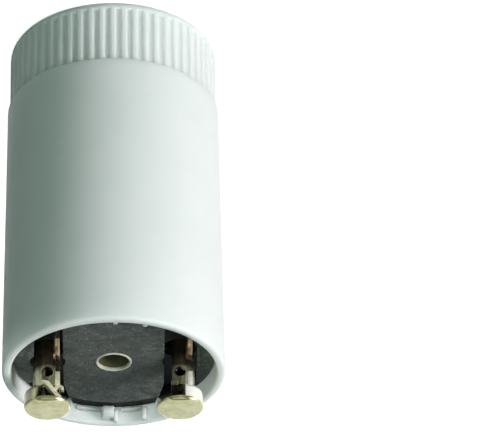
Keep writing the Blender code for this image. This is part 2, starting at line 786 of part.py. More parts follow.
def make_bimetal_strip(material):
    """Hairpin strip on the left-hand post, its free leg facing the fixed electrode."""
    fixed = POST_X + LEAD_RADIUS + LEAD_CLEARANCE + STRIP_THICKNESS / 2
    free = -POST_X + ELECTRODE_RADIUS + CONTACT_GAP + STRIP_THICKNESS / 2
    bend = (fixed - free) / 2
    bend_z = PRESS_BOTTOM - STRIP_TOP - STRIP_LENGTH + bend
    line = [
        (fixed, PRESS_BOTTOM - STRIP_TOP),
        *arc(free + bend, bend_z, bend, 0, -180, 10),
        (free, PRESS_BOTTOM - STRIP_FREE_TOP),
    ]
    bm = bmesh.new()
    verts = [bm.verts.new((x, BULB_OFFSET - STRIP_WIDTH / 2, z)) for x, z in line]
    edges = [bm.edges.new(pair) for pair in zip(verts, verts[1:])]
    swept = bmesh.ops.extrude_edge_only(bm, edges=edges)
    far = [item for item in swept["geom"] if isinstance(item, bmesh.types.BMVert)]
    bmesh.ops.translate(bm, verts=far, vec=(0, STRIP_WIDTH, 0))
    strip = add_bmesh("bimetal_strip", bm, material=material)
    thicken = strip.modifiers.new("Strip", "SOLIDIFY")
    thicken.thickness = STRIP_THICKNESS
    thicken.offset = 0


def make_cap_socket(name, x):
    """Cutter for the hole that a capacitor lead enters by."""
    depth = CAP_SOCKET_DEPTH + LEAD_CLEARANCE
    return round_piece(name, LEAD_RADIUS + LEAD_CLEARANCE, 2 * depth, (x, CAP_OFFSET, CAP_TOP))


def make_capacitor(material):
    """Dipped body, a block with well rounded edges."""
    body = block("capacitor_body", (CAP_WIDTH, CAP_DEPTH, CAP_HEIGHT), material=material)
    body.location = (0, CAP_OFFSET, CAP_TOP - CAP_HEIGHT / 2)
    round_edges(body, CAP_ROUND, 4)
    boolean(body, make_cap_socket("cap_socket_left", CAP_LEAD_SPACING / 2))
    boolean(body, make_cap_socket("cap_socket_right", -CAP_LEAD_SPACING / 2))


def make_capacitor_leads(material):
    pass_z = PLATE_BACK - PIN_CLEARANCE - SHEET - 0.7 * MM
    for name, side in (("capacitor_lead_left", 1), ("capacitor_lead_right", -1)):
        start = side * CAP_LEAD_SPACING / 2
        pin = side * PIN_X - LEAD_PLACE
        knots = [
            (start, CAP_OFFSET, CAP_TOP - CAP_SOCKET_DEPTH),
            (start, CAP_OFFSET, CAP_TOP + 0.3 * MM),
            ((start + pin) / 2, CAP_OFFSET * 0.6, (CAP_TOP + pass_z) / 2 + 0.3 * MM),
            (pin, 0, pass_z),
            (pin, 0, PLATE_BACK),
            (pin, 0, CAN_LENGTH - LEAD_END),
        ]
        make_wire(name, knots, LEAD_RADIUS, material)


def make_materials():
    return {
        "canister": make_material("canister_plastic", (0.72, 0.76, 0.73), 0.38),
        "plate": make_material("plate_phenolic", (0.075, 0.078, 0.076), 0.55),
        "brass": make_material("contact_brass", (0.72, 0.68, 0.36), 0.28, metallic=1.0),
        "glass": make_material("bulb_glass", (0.92, 0.95, 0.94), 0.05, transmission=1.0),
        "wire": make_material("lead_wire", (0.72, 0.71, 0.68), 0.3, metallic=1.0),
        "bimetal": make_material("bimetal_strip", (0.55, 0.54, 0.5), 0.35, metallic=1.0),
        "capacitor": make_material("capacitor_lacquer", (0.19, 0.15, 0.07), 0.4),
    }


def main():
    clear_scene()
    make_collection(PARTS)
    make_collection(CUTTERS)
    finish = make_materials()
    make_canister(finish["canister"])
    make_base_plate(finish["plate"])
    web_left = (WEB_PLACE_LEFT, WEB_LEAN_LEFT, WEB_TURN_LEFT)
    web_right = (WEB_PLACE_RIGHT, WEB_LEAN_RIGHT, WEB_TURN_RIGHT)
    curl = make_curl("contact_left_curl")
    make_contact("contact_left", 1, FOLD_LEFT, HEAD_FRONT_LEFT, web_left, finish["brass"], [curl])
    make_contact("contact_right", -1, FOLD_RIGHT, HEAD_FRONT_RIGHT, web_right, finish["brass"])
    make_bulb_envelope(finish["glass"])
    make_bulb_stem(finish["glass"])
    make_bulb_leads(finish["wire"])
    make_fixed_electrode(finish["wire"])
    make_bimetal_strip(finish["bimetal"])
    make_capacitor(finish["capacitor"])
    make_capacitor_leads(finish["wire"])


main()
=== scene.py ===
"""Looks of the fluorescent lamp starter: finely ribbed canister, plate, contacts and inner parts."""

import math

import bmesh
import bpy
from mathutils import Matrix, Vector


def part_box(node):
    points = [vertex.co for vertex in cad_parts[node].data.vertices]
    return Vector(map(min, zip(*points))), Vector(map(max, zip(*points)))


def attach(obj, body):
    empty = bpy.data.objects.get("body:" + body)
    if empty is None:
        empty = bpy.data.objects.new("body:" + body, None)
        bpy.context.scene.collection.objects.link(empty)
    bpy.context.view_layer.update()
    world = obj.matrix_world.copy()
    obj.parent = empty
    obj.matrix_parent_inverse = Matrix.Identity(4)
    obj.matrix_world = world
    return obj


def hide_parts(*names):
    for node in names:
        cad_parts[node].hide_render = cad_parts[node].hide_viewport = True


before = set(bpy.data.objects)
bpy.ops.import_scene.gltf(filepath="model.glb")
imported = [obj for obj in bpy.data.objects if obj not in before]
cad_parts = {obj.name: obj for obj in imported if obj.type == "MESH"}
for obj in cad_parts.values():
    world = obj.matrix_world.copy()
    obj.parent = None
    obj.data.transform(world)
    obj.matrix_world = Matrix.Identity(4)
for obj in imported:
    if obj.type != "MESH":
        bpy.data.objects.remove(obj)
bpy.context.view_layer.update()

MM = 0.001
WELD = 0.002 * MM
FLAT_ANGLE = 0.6
BEVEL_ANGLE = 35
BEVEL_SEGMENTS = 2

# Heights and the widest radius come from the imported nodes, the rest repeats the part's sizes
CAN_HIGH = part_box("canister")[1]
PLATE_LOW, PLATE_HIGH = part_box("base_plate")
CAN_LENGTH = CAN_HIGH[2]
RIM_RADIUS = CAN_HIGH[0]
PLATE_FACE = PLATE_HIGH[2]
PLATE_BACK = PLATE_LOW[2]
PIN_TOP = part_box("contact_left")[1][2]

# Canister
BODY_DRAFT = 0.27 * MM
LEDGE_STEP = 0.22 * MM
LEDGE_HEIGHT = 7.0 * MM
LEDGE_ROUND = 0.1 * MM
BAND_WALL = 1.0 * MM
MOUTH_WALL = 0.85 * MM
LEDGE_RADIUS = RIM_RADIUS - BODY_DRAFT
BAND_RADIUS = LEDGE_RADIUS - LEDGE_STEP
CAVITY_RADIUS = BAND_RADIUS - BAND_WALL
CAVITY_ROUND = 0.8 * MM
MOUTH_RADIUS = RIM_RADIUS - MOUTH_WALL
CROWN_ROUND = 0.88 * MM
CROWN_THICKNESS = 1.2 * MM
RIM_ROUND = 0.18 * MM
RIM_OUTER_ROUND = 0.35 * MM

# Ribs: each pitch is split into columns, and this is how deep each column is cut. The centre
# column is the one that stands at angle 0.
RIB_COUNT = 58
GROOVE_DEPTH = 0.28 * MM
GROOVE_START = 0.95 * MM
GROOVE_LIP = 0.06 * MM
RIB_COLUMNS = (0.12, 0.0, 0.0, 0.0, 0.0, 0.12, 0.88, 1.0, 1.0, 1.0, 1.0, 0.88)
GROOVE_CENTRE_COLUMN = 8.5

# Snap lug, keys, beads and seats on the mouth's wall, with offsets along X
ROOT = 0.3 * MM
PLATE_GAP = 0.12 * MM
LUG_OFFSET = 0.6 * MM
LUG_WIDTH = 1.2 * MM
LUG_REACH = 1.35 * MM
LUG_HEIGHT = 0.75 * MM
LUG_DROP = 0.35 * MM
KEY_OFFSETS = (-0.18 * MM, -3.1 * MM)
KEY_WIDTH = 0.4 * MM
KEY_REACH = 0.6 * MM
KEY_DROP = 0.1 * MM
LEFT_BEAD_OFFSET = 2.55 * MM
LEFT_BEAD_LENGTH = 2.6 * MM
RIGHT_BEAD_OFFSET = -1.875 * MM
RIGHT_BEAD_LENGTH = 2.35 * MM
BEAD_REACH = 0.35 * MM
BEAD_RISE = 0.15 * MM
BEAD_DROP = 0.21 * MM
SEAT_ANGLES = (45, 135, 225, 315)
SEAT_WIDTH = 1.0 * MM
SEAT_LENGTH = 6.0 * MM
SEAT_REACH = 1.1 * MM
SEAT_FOOT = 0.3 * MM
SEAT_STEPS = 3
MOULDED_ROUND = 0.06 * MM

# Plate
PLATE_CLEARANCE = 0.2 * MM
PLATE_RADIUS = MOUTH_RADIUS - PLATE_CLEARANCE
PLATE_ROUND = 0.08 * MM
WING_START = 7.65 * MM
# The grey face ends at this radius; outside it the plate is painted black as shade.
FACE_RADIUS = 8.05 * MM
CHANNEL_START = 4.86 * MM
CHANNEL_DEPTH = 1.5 * MM
FLANGE_DROP = 0.33 * MM
FLANGE_WIDTH = 0.8 * MM
FLANGE_INSET = 0.02 * MM
FLANGE_SINK = 0.1 * MM
FLANGE_OVERLAP = 1
FLANGE_STEPS = 8
BORE_RADIUS = 1.5 * MM
HOLE_CHAMFER = 0.2 * MM
LIP_WIDTH = 0.24 * MM
LIP_STEPS = 72

# Contacts
PIN_X = 6.35 * MM
NECK_RADIUS = 1.4 * MM
HEAD_HEIGHT = 1.95 * MM
HEAD_BACK = PIN_TOP - HEAD_HEIGHT
HEAD_BORE = 1.75 * MM
DISC_FRONT = -1.9 * MM
LEAF_START = -1.42 * MM
LEAF_TOP = CAN_LENGTH - 0.95 * MM
SHEET_ROUND = 0.05 * MM

# Ranges over which one finish gives way to another: radii, heights, or places across and along
CAN_SKIN = (MOUTH_RADIUS + 0.03 * MM, MOUTH_RADIUS + 0.06 * MM)
MOUTH_START = (PLATE_FACE - 1.0 * MM, PLATE_FACE - 0.5 * MM)
CROWN_END = (CROWN_THICKNESS - 0.1 * MM, CROWN_THICKNESS - 0.05 * MM)
FACE_SKIN = (PLATE_FACE - 0.16 * MM, PLATE_FACE - 0.07 * MM)
PAINTED_SHADE_RING = (FACE_RADIUS, FACE_RADIUS + 0.12 * MM)
WING_EDGE = (WING_START - 0.05 * MM, WING_START + 0.05 * MM)
BORE_SKIN = (BORE_RADIUS, BORE_RADIUS + 0.03 * MM)
NECK_SKIN = (NECK_RADIUS - 0.08 * MM, NECK_RADIUS - 0.03 * MM)
HEAD_SKIN = (HEAD_BORE - 0.02 * MM, HEAD_BORE + 0.05 * MM)
NECK_END = (HEAD_BACK - 0.1 * MM, HEAD_BACK)
HEAD_START = (HEAD_BACK, HEAD_BACK + 0.1 * MM)
DISC_START = (PIN_TOP - 0.22 * MM, PIN_TOP - 0.12 * MM)
DISC_EDGE = (PIN_TOP - 0.5 * MM, PIN_TOP - 0.45 * MM)
DISC_SHEARED = (DISC_FRONT - 0.01 * MM, DISC_FRONT + 0.03 * MM)
RECESS_END = (CAN_LENGTH - 0.4 * MM, CAN_LENGTH + 0.3 * MM)
LEAF_SIDE = (-0.6 * MM, -0.55 * MM)
LEAF_AHEAD = (-0.6 * MM, -0.5 * MM)
LEAF_END = (LEAF_TOP - 0.15 * MM, LEAF_TOP)
LEAF_FRONT = (LEAF_START - 0.05 * MM, LEAF_START)
# Painted shade on the side of each head turned away from the key
SHADED_SIDE_ACROSS = (0.9 * MM, 1.6 * MM)
# Painted highlight low on the right contact's outer side
HIGHLIGHT_SIDE = (-PIN_X - 0.6 * MM, -PIN_X - 0.45 * MM)
HIGHLIGHT_START = (CAN_LENGTH + 0.35 * MM, CAN_LENGTH + 0.75 * MM)

# Narrow front strips of a contact, measured across it, ahead of its axis and up
STRIP_SIDE = -0.55 * MM
TAB_AHEAD = 0.6 * MM
TAB_HEIGHTS = (CAN_LENGTH + 0.3 * MM, HEAD_BACK)
CURL_AHEAD = (0.7 * MM, 1.2 * MM)
CURL_HEIGHTS = (HEAD_BACK, PIN_TOP - 1.1 * MM)
WALL_AHEAD = 0.8 * MM
WALL_HEIGHTS = (HEAD_BACK, PIN_TOP - 0.45 * MM)
WEB_AHEAD = 1.15 * MM
WEB_HALF = 0.25 * MM
WEB_HEIGHTS = (HEAD_BACK, PIN_TOP - 0.1 * MM)
LEFT_WEB_TURN = -26
LEFT_WEB_ACROSS = (-2.2 * MM, 0.6 * MM)
RIGHT_WEB_ACROSS = (0.1 * MM, 0.95 * MM)

# Camera, as the photograph's: close above the mouth's side and turned upside down
CAMERA_PLACE = (0.0, -349.4 * MM, 231.13 * MM)
CAMERA_AIM = (-13.07 * MM, 0.0, 18.73 * MM)
CAMERA_ROLL = 178.77
CAMERA_LENS = 303.9

# Lamps: the key stands on the photograph's right, a wide one hangs above the mouth on the
# camera's side, and a low one behind shines through the far wall. Turns and heights are in
# degrees, sizes in metres, and powers in watts over pi.
LAMP_DISTANCE = 0.6
KEY_TURN = 59
KEY_HEIGHT = 20
KEY_SIZE = 0.3
KEY_POWER = 1.15
KEY_COLOUR = (1.0, 0.965, 0.995)
TOP_TURN = 0
TOP_HEIGHT = 58
TOP_SIZE = 0.6
TOP_POWER = 0.47
TOP_COLOUR = (0.75, 1.0, 0.88)
BACK_TURN = 175
BACK_HEIGHT = 1
BACK_SIZE = 0.1
BACK_POWER = 1.1
BACK_COLOUR = (1.0, 1.0, 1.0)

# Floor and surroundings: nearly white where they are seen, and dim and greenish as bounce light
WHITE = (1.0, 1.0, 1.0)
SHADE_LIGHT = 0.012
SHADE_TINT = (0.72, 1.0, 0.88)
FLOOR_SIZE = 3.0
FLOOR_GAP = 0.01 * MM
FLOOR_SEEN = (0.96, 0.96, 0.96)
FLOOR_BOUNCE = (0.30, 0.37, 0.335)
FLOOR_LIFT = 0.8


def link(obj):
    bpy.context.scene.collection.objects.link(obj)
    return obj


def finish_piece(name, bm, material, sharp=35):
    """Links the shape in bm as a smooth-shaded piece that rides on the starter."""
    mesh = bpy.data.meshes.new(name)
    bm.to_mesh(mesh)
    bm.free()
    mesh.shade_smooth()
    mesh.set_sharp_from_angle(angle=math.radians(sharp))
    mesh.materials.append(material)
    piece = link(bpy.data.objects.new(name, mesh))
    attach(piece, "root")
    return piece


def arc(centre_r, centre_z, radius, start, end, steps):
    """Points of an arc in a profile, with angles in degrees."""
    turns = [math.radians(start + (end - start) * i / steps) for i in range(steps + 1)]
    return [(centre_r + radius * math.cos(a), centre_z + radius * math.sin(a)) for a in turns]


def spin_profile(bm, profile, steps, start=0.0):
    """An open profile of (radius, height) points turned full circle about Z."""
    turn = Matrix.Rotation(start, 3, "Z")
    verts = [bm.verts.new(turn @ Vector((radius, 0, height))) for radius, height in profile]
    edges = [bm.edges.new(pair) for pair in zip(verts, verts[1:])]
    bmesh.ops.spin(
        bm,
        geom=[*verts, *edges],
        cent=(0, 0, 0),
        axis=(0, 0, 1),
        angle=2 * math.pi,
        steps=steps,
        use_merge=True,
    )
    bmesh.ops.remove_doubles(bm, verts=bm.verts, dist=WELD)
    bmesh.ops.recalc_face_normals(bm, faces=bm.faces)


def spin_section(bm, section, start, end, steps):
    """A closed (radius, height) section turned about Z from one angle to another, in degrees."""
    turn = Matrix.Rotation(math.radians(start), 3, "Z")
    verts = [bm.verts.new(turn @ Vector((radius, 0, height))) for radius, height in section]
    face = bm.faces.new(verts)
    bmesh.ops.spin(
        bm,
        geom=[*verts, *face.edges, face],
        cent=(0, 0, 0),
        axis=(0, 0, 1),
        angle=math.radians(end - start),
        steps=steps,
    )


def round_edges(bm, width):
    """Rounds the edges that turn by more than BEVEL_ANGLE degrees."""
    limit = math.radians(BEVEL_ANGLE)
    edges = [e for e in bm.edges if len(e.link_faces) == 2 and e.calc_face_angle(0.0) > limit]
    bmesh.ops.bevel(
        bm,
        geom=edges,
        offset=width,
        segments=BEVEL_SEGMENTS,
        profile=0.5,
        affect="EDGES",
        material=-1,
        clamp_overlap=True,
        offset_type="OFFSET",
    )


# Nodes that the finishes are made of

def plain_material(name):
    """A new material, its node tree and its Principled shader."""
    material = bpy.data.materials.new(name)
    material.use_nodes = True
    tree = material.node_tree
    return material, tree, tree.nodes["Principled BSDF"]


def start_material(name):
    """A new material, its node tree, its Principled shader and its Object coordinates."""
    material, tree, shader = plain_material(name)
    coordinates = tree.nodes.new("ShaderNodeTexCoord").outputs["Object"]
    return material, tree, shader, coordinates


def dress(tree, shader, colour, rough, normal):
    """Links the shader's colour, roughness and normal."""
    tree.links.new(colour, shader.inputs["Base Color"])
    tree.links.new(rough, shader.inputs["Roughness"])
    tree.links.new(normal, shader.inputs["Normal"])


def stretched(tree, vector, scale):
    mapping = tree.nodes.new("ShaderNodeMapping")
    mapping.inputs["Scale"].default_value = scale
    tree.links.new(vector, mapping.inputs["Vector"])
    return mapping.outputs["Vector"]


def noise(tree, vector, scale, detail=3.0, roughness=0.55):
    node = tree.nodes.new("ShaderNodeTexNoise")
    node.inputs["Scale"].default_value = scale
    node.inputs["Detail"].default_value = detail
    node.inputs["Roughness"].default_value = roughness
    tree.links.new(vector, node.inputs["Vector"])
    return node.outputs["Fac"]


def ramp(tree, factor, stops):
    """Colour ramp of (position, colour) stops."""
    node = tree.nodes.new("ShaderNodeValToRGB")
    elements = node.color_ramp.elements
    while len(elements) < len(stops):
        elements.new(1.0)
    for element, (position, colour) in zip(elements, stops):
        element.position = position
        element.color = (*colour, 1.0)
    tree.links.new(factor, node.inputs["Fac"])
    return node.outputs["Color"]


def shades(tree, factor, dark, pale):
    """From a dark colour to a pale one over the middle of a noise."""
    return ramp(tree, factor, [(0.3, dark), (0.7, pale)])


def between(tree, factor, low, high, start=0.3, end=0.7):
    """A value that goes from low to high as the factor goes from start to end."""
    node = tree.nodes.new("ShaderNodeMapRange")
    node.inputs["From Min"].default_value = start
    node.inputs["From Max"].default_value = end
    node.inputs["To Min"].default_value = low
    node.inputs["To Max"].default_value = high
    tree.links.new(factor, node.inputs["Value"])
    return node.outputs["Result"]


def rises(tree, value, limits):
    """A mask that is 0 up to the first limit and 1 from the second."""
    return between(tree, value, 0.0, 1.0, *limits)


def falls(tree, value, limits):
    """A mask that is 1 up to the first limit and 0 from the second."""
    return between(tree, value, 1.0, 0.0, *limits)


def mix(tree, factor, first, second):
    node = tree.nodes.new("ShaderNodeMix")
    node.data_type = "RGBA"
    sockets = (node.inputs[0], node.inputs[6], node.inputs[7])
    for value, socket in zip((factor, first, second), sockets):
        if isinstance(value, bpy.types.NodeSocket):
            tree.links.new(value, socket)
        else:
            socket.default_value = (*value, 1.0)
    return node.outputs[2]


def bump(tree, height, distance, normal=None):
    node = tree.nodes.new("ShaderNodeBump")
    node.inputs["Strength"].default_value = 1.0
    node.inputs["Distance"].default_value = distance
    tree.links.new(height, node.inputs["Height"])
    if normal:
        tree.links.new(normal, node.inputs["Normal"])
    return node.outputs["Normal"]


def maths(tree, operation, *values):
    """A maths node on sockets or plain numbers."""
    node = tree.nodes.new("ShaderNodeMath")
    node.operation = operation
    for value, socket in zip(values, node.inputs):
        if isinstance(value, bpy.types.NodeSocket):
            tree.links.new(value, socket)
        else:
            socket.default_value = value
    return node.outputs[0]


def all_of(tree, first, *others):
    """The product of several masks."""
    for other in others:
        first = maths(tree, "MULTIPLY", first, other)
    return first


def any_of(tree, first, *others):
    """The highest of several masks."""
    for other in others:
        first = maths(tree, "MAXIMUM", first, other)
    return first


def axes(tree, place):
    """A point's X, Y and Z."""
    split = tree.nodes.new("ShaderNodeSeparateXYZ")
    tree.links.new(place, split.inputs[0])
    return split.outputs


def from_axis(tree, across, along):
    """How far a point is from an upright axis."""
    across_squared = maths(tree, "MULTIPLY", across, across)
    along_squared = maths(tree, "MULTIPLY", along, along)
    return maths(tree, "SQRT", maths(tree, "ADD", across_squared, along_squared))


# Finishes

def open_to_light(tree, place):
    """1 on the canister's outside and mouth, and 0 on its inner walls behind the plate."""
    across, along, height = axes(tree, place)
    outside = rises(tree, from_axis(tree, across, along), CAN_SKIN)
    mouth = rises(tree, height, MOUTH_START)
    crown = falls(tree, height, CROWN_END)
    return any_of(tree, outside, mouth, crown)


def canister_plastic():
    """Moulded off-white plastic: faint clouds, drawn-out flow marks and a fine satin grain.

    Light sinks into it to about the wall's own thickness.
    """
    material, tree, shader, place = start_material("canister_plastic")
    clouds = noise(tree, place, 180, detail=4)
    flow = noise(tree, stretched(tree, place, (1, 1, 0.08)), 420)
    base = shades(tree, clouds, (0.775, 0.825, 0.805), (0.825, 0.86, 0.85))
    streaked = mix(tree, between(tree, flow, 0.0, 0.35), base, (0.85, 0.87, 0.855))
    rough = between(tree, noise(tree, place, 900), 0.42, 0.55)
    grain = bump(tree, noise(tree, place, 5200, detail=2), 0.006 * MM)
    dress(tree, shader, streaked, rough, bump(tree, flow, 0.012 * MM, grain))
    shader.inputs["IOR"].default_value = 1.49
    shader.inputs["Specular IOR Level"].default_value = 0.2
    tree.links.new(open_to_light(tree, place), shader.inputs["Subsurface Weight"])
    shader.inputs["Subsurface Radius"].default_value = (1.6 * MM, 1.6 * MM, 1.6 * MM)
    shader.inputs["Subsurface Scale"].default_value = 1.0
    return material


def plate_places(tree, place):
    """Masks of the plate's painted shade, black below its face and in a ring round it, and of its
    bore.
    """
    across, along, height = axes(tree, place)
    radius = from_axis(tree, across, along)
    below_face = falls(tree, height, FACE_SKIN)
    shade_ring = rises(tree, radius, PAINTED_SHADE_RING)
    wing = rises(tree, maths(tree, "ABSOLUTE", across), WING_EDGE)
    off_wing = maths(tree, "SUBTRACT", 1.0, wing)
    body = all_of(tree, any_of(tree, below_face, shade_ring), off_wing)
    return body, falls(tree, radius, BORE_SKIN)


def plate_plastic():
    """Filled board: a mottled grey face with pale specks, painted shade in black below and round the
    face, and an olive bore.
    """
    material, tree, shader, place = start_material("plate_plastic")
    in_painted_shade, in_bore = plate_places(tree, place)
    mottle = noise(tree, place, 900, detail=5, roughness=0.7)
    face = shades(tree, mottle, (0.036, 0.042, 0.039), (0.140, 0.147, 0.142))
    speckled = between(tree, noise(tree, place, 3800, detail=2), 0.0, 0.6, start=0.6, end=0.72)
    face = mix(tree, speckled, face, (0.30, 0.31, 0.30))
    # Near-black painted shade for the channels, the plate's edges and the ring round the face.
    body = shades(tree, mottle, (0.006, 0.008, 0.008), (0.014, 0.014, 0.013))
    bore = shades(tree, mottle, (0.06, 0.057, 0.027), (0.13, 0.12, 0.068))
    colour = mix(tree, in_bore, mix(tree, in_painted_shade, face, body), bore)
    skin = bump(tree, noise(tree, place, 6500), 0.012 * MM)
    rough = between(tree, mottle, 0.5, 0.65)
    dress(tree, shader, colour, rough, bump(tree, mottle, 0.03 * MM, skin))
    shader.inputs["Specular IOR Level"].default_value = 0.1
    return material


def lip_resin():
    """Pale resin lip, uneven in tone and thickness round the hole."""
    material, tree, shader, place = start_material("lip_resin")
    patches = noise(tree, place, 700, detail=4, roughness=0.6)
    stops = [(0.3, (0.36, 0.36, 0.29)), (0.55, (0.58, 0.57, 0.47)), (0.72, (0.78, 0.78, 0.70))]
    rough = between(tree, patches, 0.35, 0.5)
    dress(tree, shader, ramp(tree, patches, stops), rough, bump(tree, patches, 0.03 * MM))
    return material


def contact_places(tree, place):
    """Masks of a contact's inner faces, recessed part, leaf, faces with painted shade and the right
    contact's painted highlight.
    """
    x, along, height = axes(tree, place)
    middle = maths(tree, "MULTIPLY", maths(tree, "SIGN", x), PIN_X)
    across = maths(tree, "SUBTRACT", x, middle)
    radius = from_axis(tree, across, along)
    on_head = rises(tree, height, HEAD_START)
    below_disc = falls(tree, height, DISC_START)
    in_head = all_of(tree, falls(tree, radius, HEAD_SKIN), on_head)
    in_neck = falls(tree, radius, NECK_SKIN)
    inside = all_of(tree, any_of(tree, in_neck, in_head), below_disc)
    deep = falls(tree, height, RECESS_END)
    before_neck = falls(tree, along, LEAF_AHEAD)
    leaf_strip = all_of(
        tree,
        falls(tree, across, LEAF_SIDE),
        before_neck,
        falls(tree, height, LEAF_END),
    )
    leaf = any_of(tree, falls(tree, along, LEAF_FRONT), leaf_strip)
    # Painted shade: the side of each head turned away from the key, and the discs' front edges.
    shaded_side = all_of(tree, on_head, below_disc, rises(tree, across, SHADED_SIDE_ACROSS))
    shaded_disc_edge = all_of(tree, falls(tree, along, DISC_SHEARED), rises(tree, height, DISC_EDGE))
    # Painted highlight low on the right contact's outer side, where the key light catches it.
    painted_highlight = all_of(
        tree,
        falls(tree, x, HIGHLIGHT_SIDE),
        before_neck,
        rises(tree, height, HIGHLIGHT_START),
        falls(tree, height, NECK_END),
    )
    return inside, deep, leaf, any_of(tree, shaded_side, shaded_disc_edge), painted_highlight


def contact_brass():
    """Pale brass, with lines and pits. Painted shade makes it dark inside and down in the recess but
    for the pinkish leaf, and darker on the heads' sides turned from the key and on the discs' front
    edges; a whitish painted highlight lies low on the right contact's outer side.
    """
    material, tree, shader, place = start_material("contact_brass")
    tarnish = noise(tree, place, 900, detail=5, roughness=0.65)
    stops = [(0.25, (0.40, 0.39, 0.19)), (0.5, (0.57, 0.57, 0.34)), (0.75, (0.70, 0.69, 0.47))]
    bright = ramp(tree, tarnish, stops)
    # Darker brass, painted as shade on faces turned from the key.
    shade_side_brass = shades(tree, tarnish, (0.07, 0.065, 0.03), (0.27, 0.26, 0.145))
    # Very dark brass, painted as shade inside the contact and down in the plate's recess.
    shade_dark_brass = shades(tree, tarnish, (0.028, 0.027, 0.018), (0.085, 0.066, 0.040))
    leaf = shades(tree, tarnish, (0.34, 0.22, 0.15), (0.56, 0.43, 0.32))
    inside, deep, on_leaf, painted_shade_faces, painted_highlight = contact_places(tree, place)
    # The whitish colour here is a painted highlight.
    with_highlight = mix(tree, painted_highlight, bright, (0.93, 0.92, 0.84))
    outer = mix(tree, deep, mix(tree, painted_shade_faces, with_highlight, shade_side_brass), mix(tree, on_leaf, shade_dark_brass, leaf))
    drawn = noise(tree, stretched(tree, place, (1, 8, 0.6)), 2600, detail=2)
    lines = bump(tree, drawn, 0.004 * MM)
    pits = bump(tree, noise(tree, place, 5200, detail=2), 0.005 * MM, lines)
    dress(tree, shader, mix(tree, inside, outer, shade_dark_brass), between(tree, drawn, 0.16, 0.26), pits)
    shader.inputs["Metallic"].default_value = 0.8
    return material


def sheared_brass(name, dark, pale):
    """The whitish, matt brass of sheared edges and narrow strips; in its palest copy the colour is
    also a painted highlight.
    """
    material, tree, shader, place = start_material(name)
    scuffs = noise(tree, stretched(tree, place, (1, 1, 3)), 1500, detail=4, roughness=0.6)
    rough = between(tree, scuffs, 0.34, 0.5)
    dress(tree, shader, shades(tree, scuffs, dark, pale), rough, bump(tree, scuffs, 0.012 * MM))
    shader.inputs["Metallic"].default_value = 0.25
    return material


def drawn_metal(name, dark, pale, smoothest):
    """Wire or strip metal, streaked along its length."""
    material, tree, shader, place = start_material(name)
    streaks = noise(tree, stretched(tree, place, (1, 1, 0.2)), 3000)
    rough = between(tree, streaks, smoothest, smoothest + 0.14)
    dress(tree, shader, shades(tree, streaks, dark, pale), rough, bump(tree, streaks, 0.005 * MM))
    shader.inputs["Metallic"].default_value = 1.0
    return material


def lamp_glass(name, tint, smoothest):
    """Thin glass with faint ripples and a trace of haze."""
    material, tree, shader, place = start_material(name)
    shader.inputs["Base Color"].default_value = (*tint, 1.0)
    shader.inputs["Transmission Weight"].default_value = 1.0
    shader.inputs["IOR"].default_value = 1.5
    haze = between(tree, noise(tree, place, 500, detail=4), smoothest, smoothest + 0.08)
    tree.links.new(haze, shader.inputs["Roughness"])
    ripple = noise(tree, stretched(tree, place, (1, 1, 0.15)), 350, detail=2)
    tree.links.new(bump(tree, ripple, 0.02 * MM), shader.inputs["Normal"])
    return material


def capacitor_lacquer():
    """Dipped amber lacquer that pools darker, with a few dimples."""
    material, tree, shader, place = start_material("capacitor_lacquer")
    pooled = noise(tree, place, 260, detail=4)
    colour = shades(tree, pooled, (0.13, 0.085, 0.03), (0.24, 0.165, 0.06))
    rough = between(tree, noise(tree, place, 900), 0.16, 0.3)
    dimples = bump(tree, noise(tree, place, 1100, detail=2), 0.03 * MM)
    dress(tree, shader, colour, rough, dimples)
    shader.inputs["Coat Weight"].default_value = 0.5
    return material


# Canister

def canister_profile():
    """From the middle of the inner floor, up the inner wall, over the rim and down to the crown."""
    cavity_r = CAVITY_RADIUS - CAVITY_ROUND
    rim_r = RIM_RADIUS - RIM_OUTER_ROUND
    return [
        (0, CROWN_THICKNESS),
        *arc(cavity_r, CROWN_THICKNESS + CAVITY_ROUND, CAVITY_ROUND, -90, 0, 6),
        (MOUTH_RADIUS, PLATE_BACK - SEAT_LENGTH),
        *arc(MOUTH_RADIUS + RIM_ROUND, CAN_LENGTH - RIM_ROUND, RIM_ROUND, 180, 90, 5),
        *arc(rim_r, CAN_LENGTH - RIM_OUTER_ROUND, RIM_OUTER_ROUND, 90, 0, 7),
        *arc(LEDGE_RADIUS - LEDGE_ROUND, LEDGE_HEIGHT + LEDGE_ROUND, LEDGE_ROUND, 0, -90, 4),
        (BAND_RADIUS, LEDGE_HEIGHT),
        (BAND_RADIUS, GROOVE_START + GROOVE_LIP),
        (BAND_RADIUS, GROOVE_START),
        *arc(BAND_RADIUS - CROWN_ROUND, CROWN_ROUND, CROWN_ROUND, 0, -90, 10),
        (0, 0),
    ]


def cut_grooves(bm, columns):
    """Pulls the band's columns in by each one's share of the groove's depth."""
    step = 2 * math.pi / columns
    for vert in bm.verts:
        radius = vert.co.xy.length
        on_band = abs(radius - BAND_RADIUS) < WELD
        if not on_band or not GROOVE_START + WELD < vert.co.z < LEDGE_HEIGHT + WELD:
            continue
        column = math.atan2(vert.co.y, vert.co.x) / step + GROOVE_CENTRE_COLUMN
        share = RIB_COLUMNS[round(column) % len(RIB_COLUMNS)]
        vert.co.xy *= (radius - share * GROOVE_DEPTH) / radius


def make_canister(material):
    bm = bmesh.new()
    columns = RIB_COUNT * len(RIB_COLUMNS)
    spin_profile(bm, canister_profile(), columns, start=math.pi / columns)
    cut_grooves(bm, columns)
    shell = finish_piece("canister_shell", bm, material, sharp=30)
    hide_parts("canister")


